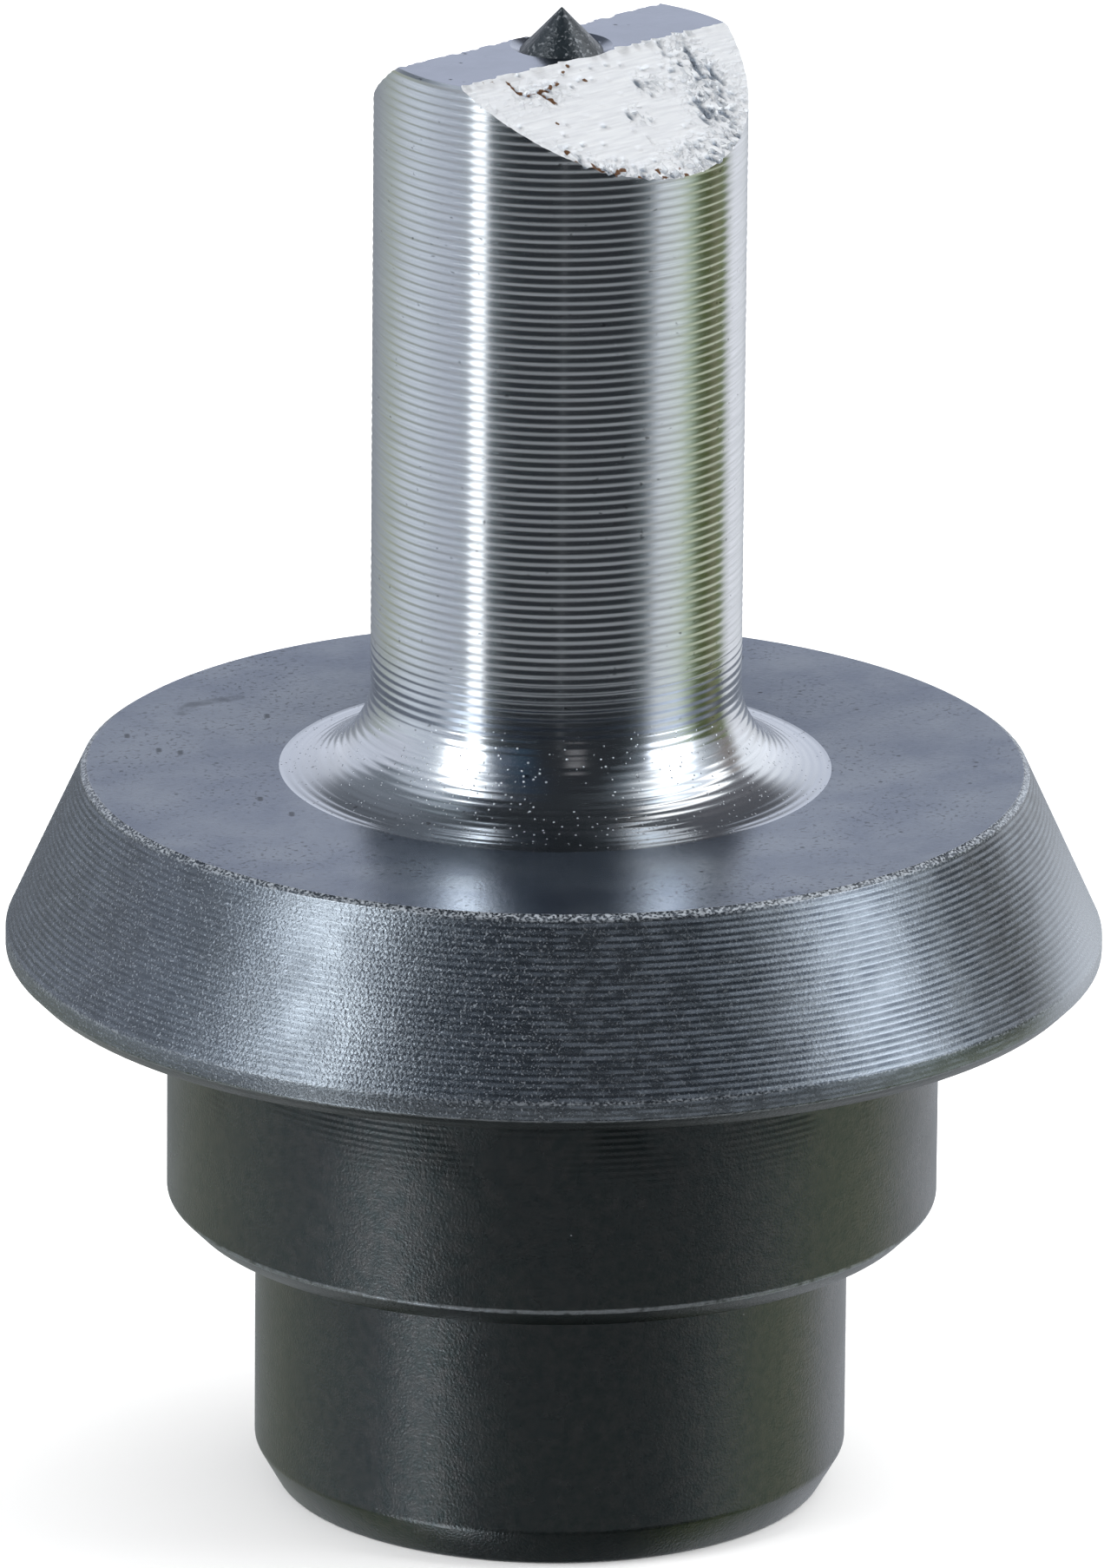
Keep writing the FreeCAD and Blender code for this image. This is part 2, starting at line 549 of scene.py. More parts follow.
# %% [markdown]
# A finish is a small graph of nodes. These first helpers add a node with its settings and
# links in one line, mix colours and masks, and set the shader, so that each finish below
# reads as a list of what the surface shows.

# %% Helpers: nodes
def feed(material, socket, value):
    """Links a socket to another node's output, or sets its value; a colour gets its alpha."""
    if isinstance(value, bpy.types.NodeSocket):
        material.node_tree.links.new(value, socket)
    elif socket.type == "RGBA":
        socket.default_value = (*value, 1)
    else:
        socket.default_value = value


def add(material, kind, inputs=None, **settings):
    """Adds a node; its inputs are given under their names or numbers."""
    node = material.node_tree.nodes.new(kind)
    for name, value in settings.items():
        setattr(node, name, value)
    for name, value in (inputs or {}).items():
        feed(material, node.inputs[name], value)
    return node


def calculate(material, operation, first, second):
    return add(material, "ShaderNodeMath", {0: first, 1: second}, operation=operation).outputs["Value"]


def vector_math(material, operation, inputs, output="Value"):
    return add(material, "ShaderNodeVectorMath", inputs, operation=operation).outputs[output]


def times(material, first, second):
    return calculate(material, "MULTIPLY", first, second)


def larger(material, first, second):
    """The stronger of two masks at each place."""
    return calculate(material, "MAXIMUM", first, second)


def share_between(material, value, start, end):
    """A mask that runs smoothly from 0 at one value to 1 at another."""
    inputs = {"Value": value, "From Min": start, "From Max": end}
    return add(material, "ShaderNodeMapRange", inputs, interpolation_type="SMOOTHSTEP").outputs["Result"]


def ramp(material, value, stops):
    """A colour ramp; each stop is a position and a grey level or a colour."""
    node = add(material, "ShaderNodeValToRGB", {"Fac": value})
    elements = node.color_ramp.elements
    while len(elements) < len(stops):
        elements.new(0.5)
    for element, (position, colour) in zip(elements, stops):
        element.position = position
        element.color = (*colour, 1) if isinstance(colour, tuple) else (colour, colour, colour, 1)
    return node.outputs["Color"]


def blend(material, share, first, second, mode="MIX"):
    """Mixes two colours; share is a number or a socket."""
    inputs = {0: share, 6: first, 7: second}
    return add(material, "ShaderNodeMix", inputs, data_type="RGBA", blend_type=mode).outputs[2]


def bump(material, height, distance, strength=1.0, after=None, sunk=False):
    """Bumps on top of other bumps; sunk ones go into the surface."""
    inputs = {"Height": height, "Distance": distance, "Strength": strength}
    if after is not None:
        inputs["Normal"] = after
    return add(material, "ShaderNodeBump", inputs, invert=sunk).outputs["Normal"]


def finish_with(material, **inputs):
    """Sets the Principled shader's sockets; names are written with underscores."""
    shader = material.node_tree.nodes["Principled BSDF"]
    for name, value in inputs.items():
        feed(material, shader.inputs[name.replace("_", " ")], value)
    print(material.name, "has", len(material.node_tree.nodes), "nodes")

# %% [markdown]
# All patterns use Object coordinates, in metres, which on a finished piece stay with the
# metal. Noise makes cloudy patches, a Voronoi pattern makes loose dots, and a stretched
# noise makes fine rings. The other helpers find places by their distance from the axis and
# their height: an edge, a turned line, or one straight scratch.

# %% Helpers: patterns and places
RINGS = (0.10, 0.10, 3.0)     # stretches a grain round the axis, into fine turned rings


def place(material, scale=(1, 1, 1)):
    """Object coordinates, stretched along the axes."""
    coordinates = add(material, "ShaderNodeTexCoord")
    inputs = {"Vector": coordinates.outputs["Object"], "Scale": scale}
    return add(material, "ShaderNodeMapping", inputs).outputs["Vector"]


def grain(material, per_mm, detail=2.0, roughness=0.5, stretch=(1, 1, 1)):
    """Noise with about per_mm grains in a millimetre, stretched as asked."""
    vector = place(material, tuple(per_mm / MM * s for s in stretch))
    inputs = {"Vector": vector, "Scale": 1.0, "Detail": detail, "Roughness": roughness}
    return add(material, "ShaderNodeTexNoise", inputs).outputs["Fac"]


def patches(material, per_mm, stops, **how):
    """Grain passed through a ramp, which makes separate patches of it."""
    return ramp(material, grain(material, per_mm, **how), stops)


def dots(material, per_mm, size, at=0.0):
    """A mask of round dots: a loose pattern with per_mm cells in a millimetre, dots of a size in mm."""
    cells = {0: place(material, (per_mm / MM,) * 3), 1: (at, at, at)}
    moved = vector_math(material, "ADD", cells, "Vector")
    away = add(material, "ShaderNodeTexVoronoi", {"Vector": moved, "Scale": 1.0}).outputs["Distance"]
    return share_between(material, away, size * per_mm / 2, size * per_mm / 5)


def radius_of(material):
    """Distance from the axis, in mm."""
    return vector_math(material, "LENGTH", {0: place(material, (1 / MM, 1 / MM, 0))})


def height_of(material):
    """Height above the base, in mm."""
    upright = place(material, (0, 0, 1 / MM))
    return add(material, "ShaderNodeSeparateXYZ", {"Vector": upright}).outputs["Z"]


def near_edge(material, radius, height, width):
    """A mask of 1 on a circle round the axis, falling to 0 at a width from it; lengths in metres."""
    out = calculate(material, "SUBTRACT", radius_of(material), radius / MM)
    up = calculate(material, "SUBTRACT", height_of(material), height / MM)
    gap = add(material, "ShaderNodeCombineXYZ", {"X": out, "Y": up}).outputs["Vector"]
    gap = vector_math(material, "LENGTH", {0: gap})
    return share_between(material, gap, width / MM, 0.3 * width / MM)


def groove_lines(material, start, feed, width):
    """A mask of thin lines round the axis, one in each feed of height above a start, all in mm."""
    above = calculate(material, "SUBTRACT", height_of(material), start)
    turns = calculate(material, "DIVIDE", above, feed)
    off_line = calculate(material, "PINGPONG", turns, 0.5)
    return share_between(material, off_line, width / feed, 0.4 * width / feed)


def stroke(material, start, end, width):
    """A mask of one straight mark on a level face, between two places given in mm."""
    run = Vector((*end, 0)) - Vector((*start, 0))
    flat = place(material, (1 / MM, 1 / MM, 0))
    off = vector_math(material, "SUBTRACT", {0: flat, 1: (*start, 0)}, "Vector")
    share = vector_math(material, "DOT_PRODUCT", {0: off, 1: run / run.length_squared})
    share = add(material, "ShaderNodeClamp", {"Value": share}).outputs["Result"]
    nearest = vector_math(material, "SCALE", {0: run, "Scale": share}, "Vector")
    gap = vector_math(material, "DISTANCE", {0: off, 1: nearest})
    return share_between(material, gap, width, 0.3 * width)

# %% [markdown]
# The shank and fillet are bright, fresh from the tool: clean metal with low roughness. The
# rings are already geometry. What is left is the fine chatter inside each ring, which runs
# round the axis, a little grit low on the fillet, where the tool slowed down, and painted
# shade on the heel of the fillet, which is darker in its corner with the collar.

# %% Finish: bright turned steel
GRIT_TOP = collar_top / MM + 4.0      # heights in mm between which the grit sets in
GRIT_FULL = collar_top / MM + 1.5
HEEL_SHADE_TOP = collar_top / MM + 0.9      # and the painted shade on the heel
HEEL_SHADE_FULL = collar_top / MM + 0.1

steel = finish["turned_steel"]
chatter = grain(steel, 3.0, detail=3.0, stretch=RINGS)
tears = patches(steel, 5.0, [(0.24, 0.5), (0.30, 1.0)], detail=2.0, stretch=(0.6, 0.6, 1.0))
foot = share_between(steel, height_of(steel), GRIT_TOP, GRIT_FULL)
foot = times(steel, foot, patches(steel, 0.6, [(0.38, 0.0), (0.55, 1.0)], detail=1.0))
grit = times(steel, dots(steel, 4.0, 0.085), foot)
# painted shade: the heel of the fillet, in its corner with the collar, is darker
painted_heel_shade = share_between(steel, height_of(steel), HEEL_SHADE_TOP, HEEL_SHADE_FULL)
tone = ramp(steel, chatter, [(0.3, (0.57, 0.585, 0.60)), (0.7, (0.67, 0.685, 0.70))])
tone = blend(steel, painted_heel_shade, tone, (0.46, 0.475, 0.49))
polish = ramp(steel, chatter, [(0.3, 0.19), (0.7, 0.13)])
finish_with(
    steel,
    Metallic=1.0,
    Base_Color=blend(steel, 1.0, tone, tears, "MULTIPLY"),
    Roughness=blend(steel, grit, polish, (0.7, 0.7, 0.7)),
    Normal=bump(steel, chatter, 0.002 * MM, after=bump(steel, grit, 0.02 * MM)),
)

# %% [markdown]
# The wheel leaves the slopes matt and nearly white, with a faint drag across them. The
# stored wear darkens the pits to blue-grey, which is painted shade, and colours the rust dark
# brown. Where the steel is torn, fine pocks are sunk between the real ones and darkened with
# painted shade, and the steel left standing stays the brightest.

# %% Finish: ground slopes
def stored(name):
    return add(ground, "ShaderNodeAttribute", attribute_name=name).outputs["Fac"]


ground = finish["ground_steel"]
drag = grain(ground, 9.0, detail=3.0, stretch=(0.08, 1.0, 1.0))
streaks = ramp(ground, drag, [(0.3, 0.0), (0.7, 1.0)])
pocks_and_shade = times(ground, patches(ground, 4.5, [(0.50, 0.0), (0.60, 1.0)], detail=2.0), stored("torn"))
# painted shade: the colour turns blue-grey where the stored wear is deep
painted_pit_shade = ramp(ground, stored("wear_depth"), [(0.03, 0.0), (0.10, 1.0)])
crumbs = times(ground, stored("rust"), grain(ground, 5.0, detail=1.0))
colour = blend(ground, streaks, (0.58, 0.59, 0.61), (0.68, 0.69, 0.70))
colour = blend(ground, painted_pit_shade, colour, (0.20, 0.23, 0.27))
# painted shade on the fine pocks
colour = blend(ground, times(ground, pocks_and_shade, 0.6), colour, (0.25, 0.28, 0.32))
colour = blend(ground, ramp(ground, crumbs, [(0.32, 0.0), (0.42, 1.0)]), colour, (0.12, 0.058, 0.027))
finish_with(
    ground,
    Metallic=0.6,
    Base_Color=colour,
    Roughness=0.5,
    Normal=bump(ground, pocks_and_shade, 0.06 * MM, after=bump(ground, drag, 0.010 * MM, 0.6), sunk=True),
)

# %% [markdown]
# The ridge is what the lathe left: a plain face, blue-grey and glossy enough to mirror the
# pip. It is a little cloudy, with short scuffs and a few small pits.

# %% Finish: ridge band
ridge = finish["ridge_steel"]
cloud = grain(ridge, 0.8, detail=4.0)
scuff = grain(ridge, 7.0, detail=2.0, stretch=(0.3, 1.0, 1.0))
scuffed = bump(ridge, scuff, 0.004 * MM, 0.5)
finish_with(
    ridge,
    Metallic=1.0,
    Base_Color=blend(ridge, cloud, (0.23, 0.25, 0.29), (0.30, 0.32, 0.37)),
    Roughness=0.18,
    Normal=bump(ridge, dots(ridge, 1.2, 0.20), 0.03 * MM, after=scuffed, sunk=True),
)

# %% [markdown]
# The pip is darker than the rest of the end. Its skin is lightly rough, with many small
# specks, and it isn't metallic: an oxide over a nearly black base.

# %% Finish: pip
pip = finish["pip_steel"]
speck = grain(pip, 7.0, detail=2.0)
specks = ramp(pip, speck, [(0.56, 0.0), (0.68, 1.0)])
finish_with(
    pip,
    Metallic=0.0,
    IOR=1.75,
    Base_Color=blend(pip, specks, (0.006, 0.010, 0.013), (0.10, 0.11, 0.12)),
    Roughness=0.33,
    Normal=bump(pip, speck, 0.04 * MM, 0.7),
)

# %% [markdown]
# The collar's top has a thin blue-grey oxide. An oxide is glassy rather than metallic: seen
# steeply it is dark, and seen at a low angle it mirrors the room, so it gets a high index
# of refraction over a dark base instead of a metal's colour. Fine pores, a bent scratch and
# a few nicks mirror nothing and show dark. The outer edge is rubbed, and its glint is painted
# in as a light, matt line.

# %% Finish: collar top
SCRATCH = [((-3.3, 13.6), (-5.1, 14.1)), ((-5.1, 14.1), (-6.1, 13.6))]    # places in mm
SCRATCH_WIDTH = 0.40
NICKS = [
    (-3.97, 11.26), (-10.67, 4.18), (-10.99, 2.12), (-9.24, 10.12), (-9.64, 10.85), (-9.39, 12.88),
]
NICK = (0.10, 0.12)           # from a nick's middle to its end
NICK_WIDTH = 0.15

collar = finish["collar_steel"]
mist = patches(collar, 0.3, [(0.35, 0.0), (0.65, 1.0)], detail=5.0, roughness=0.6)
pores = patches(collar, 5.0, [(0.58, 0.0), (0.66, 1.0)], detail=2.0)
pores = times(collar, pores, patches(collar, 0.22, [(0.44, 0.2), (0.58, 0.8)], detail=3.0))
flecks = larger(collar, dots(collar, 0.65, 0.24, at=0.4), pores)
faint = patches(collar, 1.5, [(0.38, 0.2), (0.55, 0.7)], detail=3.0)
for start, end in SCRATCH:
    scratch = stroke(collar, start, end, SCRATCH_WIDTH)
    flecks = larger(collar, flecks, times(collar, scratch, faint))
for x, y in NICKS:
    nick = stroke(collar, (x - NICK[0], y - NICK[1]), (x + NICK[0], y + NICK[1]), NICK_WIDTH)
    flecks = larger(collar, flecks, nick)
flecks = times(collar, flecks, 0.75)
matte = blend(collar, mist, (0.004, 0.006, 0.010), (0.012, 0.016, 0.022))
tint = blend(collar, mist, (0.68, 0.74, 0.86), (0.88, 0.93, 1.00))
rub_and_glint_grain = grain(collar, 4.0, detail=3.0, stretch=(1.0, 1.0, 0.3))
# painted glint: the rubbed outer edge is a light, matt line in the base colour
rub_and_painted_glint = near_edge(collar, collar_top_r, collar_top, 0.22 * MM)
rub_and_painted_glint = times(collar, rub_and_painted_glint, ramp(collar, rub_and_glint_grain, [(0.44, 0.0), (0.64, 0.6)]))
finish_with(
    collar,
    IOR=3.5,
    Base_Color=blend(collar, rub_and_painted_glint, matte, (0.42, 0.45, 0.50)),
    Specular_Tint=blend(collar, flecks, tint, (0.1, 0.1, 0.1)),
    Roughness=blend(collar, rub_and_painted_glint, (0.27, 0.27, 0.27), (0.5, 0.5, 0.5)),
    Normal=bump(collar, grain(collar, 6.0, detail=3.0), 0.012 * MM, 0.5),
)

# %% [markdown]
# The cone keeps its rings under a thinner oxide, so it is brighter. Painted shade darkens
# the grooves, and painted light makes the crests between them lighter in short dashes. One
# side of the cone is grittier than the other: there fine bumps, mottling and bare specks
# break up the light of the rings. Past that side the cone is darkened with painted shade, and
# at its other end it is made pale by painted light, without lines. The two edges are
# rubbed, and their glint is painted in as a light line.

# %% Finish: turned cone
GRITTY = (7.0, -9.0)          # x - y in mm: where a mask across the cone begins and is full
# one side darkened by painted shade, where the lines fade into painted light, and the end made pale by
# painted light
SHADE_PAINTED_SIDE = (-8.0, -16.0)
LINES_FADE_INTO_LIGHT = (29.0, 23.0)
LIGHT_PAINTED_SIDE = (24.0, 28.0)
LINE_WIDTH = 0.085            # of a groove's and a crest's line, in mm of height
LAND_STEP = 0.03              # half the height over which the cone gives way to the rim

cone = finish["cone_steel"]
cone_foot = cone_bottom / MM
cone_slant = math.atan2(collar_r - collar_top_r, collar_top - cone_bottom)
cone_pitch = cone_feed / MM * math.cos(cone_slant)
axes = add(cone, "ShaderNodeSeparateXYZ", {"Vector": place(cone, (1 / MM,) * 3)}).outputs
across = calculate(cone, "SUBTRACT", axes["X"], axes["Y"])
gritty = share_between(cone, across, *GRITTY)
glint = grain(cone, 11.0, detail=1.5, stretch=(0.8, 0.8, 1.2))

# painted shade: the grooves are darker in the tint, less so on the gritty side, and not at all where
# painted light takes over
painted_groove_shade = groove_lines(cone, cone_foot, cone_pitch, LINE_WIDTH)
painted_groove_shade = times(cone, painted_groove_shade, patches(cone, 0.7, [(0.35, 0.5), (0.6, 1.0)], detail=4.0))
painted_groove_shade = times(cone, painted_groove_shade, ramp(cone, gritty, [(0.0, 1.0), (1.0, 0.6)]))
painted_groove_shade = times(cone, painted_groove_shade, share_between(cone, across, *LINES_FADE_INTO_LIGHT))
mottle = patches(cone, 0.4, [(0.42, 0.0), (0.60, 0.7)], detail=4.0)
land = share_between(cone, height_of(cone), cone_foot + LAND_STEP, cone_foot - LAND_STEP)
# painted shade: one side of the cone gets a darker tint
tint_and_painted_shade = blend(cone, share_between(cone, across, *SHADE_PAINTED_SIDE), (0.89, 0.95, 1.0), (0.52, 0.57, 0.63))
tint_and_painted_shade = blend(cone, times(cone, mottle, gritty), tint_and_painted_shade, (0.40, 0.43, 0.46))
tint_and_painted_shade = blend(cone, painted_groove_shade, tint_and_painted_shade, (0.24, 0.27, 0.31))
tint_and_painted_shade = blend(cone, land, tint_and_painted_shade, (0.66, 0.71, 0.75))

dashes = patches(cone, 3.0, [(0.40, 0.1), (0.58, 1.0)], detail=4.0, stretch=(0.4, 0.4, 1.0))
# painted light: the crests are lighter in the base colour, in short dashes
painted_crest_light = groove_lines(cone, cone_foot + cone_pitch / 2, cone_pitch, LINE_WIDTH)
painted_crest_light = times(cone, painted_crest_light, dashes)
painted_crest_light = times(cone, painted_crest_light, ramp(cone, gritty, [(0.1, 0.45), (0.6, 0.22)]))
worn = ramp(cone, glint, [(0.60, 0.0), (0.72, 0.8)])
base_and_painted_light = blend(cone, worn, (0.007, 0.009, 0.012), (0.05, 0.055, 0.06))
base_and_painted_light = blend(cone, painted_crest_light, base_and_painted_light, (0.080, 0.096, 0.120))
# painted light: one end of the cone is paler
base_and_painted_light = blend(cone, share_between(cone, across, *LIGHT_PAINTED_SIDE), base_and_painted_light, (0.14, 0.155, 0.175))

sparkle = patches(cone, 12.0, [(0.62, 0.0), (0.70, 1.0)], detail=1.0)
sparkle = times(cone, sparkle, ramp(cone, gritty, [(0.2, 0.12), (0.6, 0.60)]))
# painted glint: the two rubbed edges are a light line in the base colour, joined by the bare specks
top_edge_glint = near_edge(cone, collar_top_r, collar_top, 0.30 * MM)
low_edge_glint = times(cone, near_edge(cone, collar_r, cone_bottom, 0.10 * MM), 0.4)
edges_and_glints = larger(cone, top_edge_glint, low_edge_glint)
edges_and_glints = times(cone, edges_and_glints, ramp(cone, glint, [(0.46, 0.0), (0.62, 0.65)]))
edges_and_glints = larger(cone, edges_and_glints, sparkle)
finish_with(
    cone,
    Metallic=sparkle,
    IOR=2.7,
    Specular_Tint=tint_and_painted_shade,
    Base_Color=blend(cone, edges_and_glints, base_and_painted_light, (0.36, 0.39, 0.43)),
    Roughness=blend(cone, edges_and_glints, (0.27, 0.27, 0.27), (0.42, 0.42, 0.42)),
    Normal=bump(cone, glint, 0.030 * MM, ramp(cone, gritty, [(0.0, 0.25), (1.0, 0.65)])),
)

# %% [markdown]
# Below the cone the oxide is thick and nearly black, with an olive cast. It is smooth and a
# little cloudy, so it shows the lamps as soft sheens. Near the top of the body a few turned
# lines are left. Bare metal shows only in thin broken lines along the edges and in rare
# tiny specks.

# %% Finish: dark oxide
TURNED_LINES = (15.0, 18.0)   # heights in mm between which the turned lines set in
LINE_FEED = 0.25
EDGE_WIDTH = 0.14 * MM

oxide = finish["dark_oxide"]
bloom = grain(oxide, 0.35, detail=4.0)
clouded = patches(oxide, 2.5, [(0.35, 0.0), (0.65, 1.0)], detail=5.0, roughness=0.65)
turned = groove_lines(oxide, 0.0, LINE_FEED, 0.09)
turned = times(oxide, turned, share_between(oxide, height_of(oxide), *TURNED_LINES))
turned = times(oxide, turned, patches(oxide, 0.25, [(0.40, 0.0), (0.55, 0.8)], detail=2.0))
tint = blend(oxide, clouded, (0.66, 0.76, 0.78), (1.0, 1.0, 1.0))
body_edge = near_edge(oxide, body_r, spigot_top + body_chamfer, EDGE_WIDTH)
rim_edge = near_edge(oxide, collar_r, rim_bottom, EDGE_WIDTH)
edges_and_glints = larger(oxide, body_edge, rim_edge)
edges_and_glints = times(oxide, edges_and_glints, patches(oxide, 3.0, [(0.35, 0.1), (0.65, 0.75)], detail=3.0))
bare = larger(oxide, edges_and_glints, times(oxide, dots(oxide, 0.6, 0.09), 0.5))
skin = blend(oxide, bloom, (0.0004, 0.0010, 0.0012), (0.002, 0.0036, 0.002))
turning = bump(oxide, grain(oxide, 2.5, detail=2.0, stretch=RINGS), 0.008 * MM, 0.5)
finish_with(
    oxide,
    Metallic=edges_and_glints,
    IOR=1.8,
    Specular_Tint=blend(oxide, turned, tint, (0.1, 0.13, 0.15)),
    Base_Color=blend(oxide, bare, skin, (0.24, 0.26, 0.28)),
    Roughness=ramp(oxide, bloom, [(0.35, 0.25), (0.65, 0.30)]),
    Normal=bump(oxide, grain(oxide, 10.0, detail=2.0), 0.022 * MM, 0.7, after=turning),
)
print("finishes:", ", ".join(ZONES))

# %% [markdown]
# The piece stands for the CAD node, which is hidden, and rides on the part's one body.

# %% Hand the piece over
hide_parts("punch")
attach(punch, "root")
print(punch.name, "stands for the CAD node")

# %% [markdown]
# The camera stands where the photograph was taken: a long lens, about 18 degrees above the
# horizon, turned 43 degrees from the ridge, and tilted half a degree. The place of the
# collar's top on the picture sets where it aims.

# %% Camera
PICTURE_WIDTH, PICTURE_HEIGHT = 1272, 1806
CAMERA_TURN = math.radians(42.96)
CAMERA_RISE = math.radians(18.13)
CAMERA_ROLL = math.radians(0.50)
RIM_RADIUS_PX = 633.65        # the collar's rim on the picture, seen at its own distance
LENS_PX = 20856               # the lens's focal length in pixels of the picture
AXIS_AT_PX = Vector((639.76, 881.46))
SENSOR_MM = 36
pixel = collar_r / RIM_RADIUS_PX
away = Vector((math.sin(CAMERA_TURN), math.cos(CAMERA_TURN), 0))
right = Vector((math.cos(CAMERA_TURN), -math.sin(CAMERA_TURN), 0))
look = away * math.cos(CAMERA_RISE) - Vector((0, 0, math.sin(CAMERA_RISE)))
up = right.cross(look)


def make_camera():
    data = bpy.data.cameras.new("camera")
    data.sensor_width = SENSOR_MM
    data.lens = SENSOR_MM * LENS_PX / PICTURE_HEIGHT
    data.clip_end = 10
    camera = bpy.data.objects.new("camera", data)
    bpy.context.collection.objects.link(camera)
    offset = Vector((PICTURE_WIDTH / 2, PICTURE_HEIGHT / 2)) - AXIS_AT_PX
    rolled_right = right * math.cos(CAMERA_ROLL) + up * math.sin(CAMERA_ROLL)
    rolled_up = up * math.cos(CAMERA_ROLL) - right * math.sin(CAMERA_ROLL)
    aim = Vector((0, 0, collar_top)) + rolled_right * offset.x * pixel - rolled_up * offset.y * pixel
    camera.location = aim - look * LENS_PX * pixel
    turn = look.to_track_quat("-Z", "Y").to_matrix()
    turn.col[0] = rolled_right
    turn.col[1] = rolled_up
    turn.col[2] = -look
    camera.rotation_euler = turn.to_euler()
    bpy.context.scene.camera = camera
    return camera


camera = make_camera()
print("camera", [round(c, 3) for c in camera.location], "lens", round(camera.data.lens, 1))

# %% [markdown]
# Bright steel shows the room more than itself, so the room is part of the picture. It is
# written as rings of colour, one above another: the dark under the bench, the bench, the
# wall, the windows, the upper room, the ceiling and the dark overhead. Seen in the shank
# from left to right there are a pale backdrop, a soft box, the dark side of the room behind
# the camera, a second soft box, a dim green wall, and the backdrop again. The flanks of the
# rings that face down reflect the bench, and draw the light lines.

# %% Colours of the room
SOFT_BOX = (5.2, 5.6, 6.0)
LEFT_STRIP = (2.3, 2.42, 2.55)
WINDOW_BOX = (7.6, 8.1, 8.6)
RIGHT_BOX = (2.2, 2.5, 2.8)
DARK_SIDE = (0.028, 0.032, 0.037)
UNDER_BENCH = [               # angle from the camera's side, to the right, and colour
    (-180, (0.45, 0.48, 0.50)),
    (-135, (0.45, 0.48, 0.50)),
    (-110, (0.24, 0.30, 0.14)),
    (-85, (0.24, 0.27, 0.22)),
    (-67, (0.30, 0.33, 0.35)),
    (-64, (4.60, 4.90, 5.20)),
    (-50, (4.60, 4.90, 5.20)),
    (-45, (0.04, 0.045, 0.05)),
    (60, (0.04, 0.045, 0.05)),
    (95, (0.26, 0.32, 0.14)),
    (110, (0.27, 0.32, 0.18)),
    (130, (0.66, 0.69, 0.73)),
    (180, (0.45, 0.48, 0.50)),
]
BENCH = [
    (-180, (0.42, 0.45, 0.48)),
    (-130, (0.43, 0.46, 0.37)),
    (-110, (0.42, 0.46, 0.42)),
    (-75, (0.44, 0.47, 0.52)),
    (-57.5, (0.46, 0.49, 0.54)),
    (-55, (1.20, 1.25, 1.30)),
    (-47, (1.20, 1.25, 1.30)),
    (-44, (0.33, 0.35, 0.37)),
    (50, (0.32, 0.34, 0.36)),
    (75, (0.60, 0.63, 0.64)),
    (90, (0.60, 0.67, 0.50)),
    (120, (0.66, 0.70, 0.54)),
    (134, (0.80, 0.82, 0.86)),
    (180, (0.50, 0.53, 0.58)),
]
WALL = [
    (-180, (0.22, 0.24, 0.27)),
    (-150, (0.36, 0.39, 0.43)),
    (-128, (0.49, 0.54, 0.53)),
    (-108, (0.72, 0.78, 0.86)),
    (-94, (0.76, 0.83, 0.93)),
    (-66, (0.53, 0.58, 0.67)),
    (-56.5, (0.34, 0.39, 0.44)),
    (-54, LEFT_STRIP),
    (-47, LEFT_STRIP),
    (-45, (0.16, 0.18, 0.20)),
    (-40, (0.09, 0.11, 0.12)),
    (-30, DARK_SIDE),
    (1.5, DARK_SIDE),
    (2.3, (0.16, 0.17, 0.18)),
    (3.1, (0.16, 0.17, 0.18)),
    (3.9, DARK_SIDE),
    (44, DARK_SIDE),
    (54, (0.12, 0.14, 0.15)),
    (60, (0.42, 0.46, 0.50)),
    (64, (0.80, 0.85, 0.90)),
    (80, (0.80, 0.88, 0.86)),
    (88, (0.50, 0.60, 0.46)),
    (96, (0.10, 0.13, 0.05)),
    (104, (0.08, 0.10, 0.03)),
    (112, (0.22, 0.22, 0.14)),
    (121, (0.16, 0.21, 0.08)),
    (126, (0.70, 0.73, 0.73)),
    (134, (1.04, 1.06, 1.14)),
    (154, (0.84, 0.87, 0.92)),
    (166, (0.60, 0.63, 0.68)),
    (180, (0.40, 0.43, 0.48)),
]
WINDOWS = [
    (-180, (0.92, 0.98, 1.14)),
    (-152, (0.78, 0.82, 0.92)),
    (-143, (0.75, 0.80, 0.92)),
    (-105, (0.71, 0.75, 0.86)),
    (-78, (0.65, 0.72, 0.82)),
    (-68, (1.00, 1.05, 1.10)),
    (-64, WINDOW_BOX),
    (-48, WINDOW_BOX),
    (-43, (0.30, 0.34, 0.40)),
    (-36, (0.10, 0.13, 0.18)),
    (-20, (0.04, 0.07, 0.11)),
    (-8, DARK_SIDE),
    (6, DARK_SIDE),
    (8, (0.20, 0.20, 0.21)),
    (16, (0.20, 0.20, 0.21)),
    (18, DARK_SIDE),
    (40, DARK_SIDE),
    (56, (0.16, 0.19, 0.22)),
    (66, (4.4, 4.7, 5.2)),
    (84, (4.4, 4.7, 5.2)),
    (91, (1.00, 1.05, 1.10)),
    (102, (0.48, 0.53, 0.58)),
    (118, (0.29, 0.26, 0.25)),
    (124, (0.32, 0.30, 0.29)),
    (132, (1.15, 1.20, 1.28)),
    (150, (1.16, 1.21, 1.30)),
    (180, (0.92, 0.98, 1.14)),
]
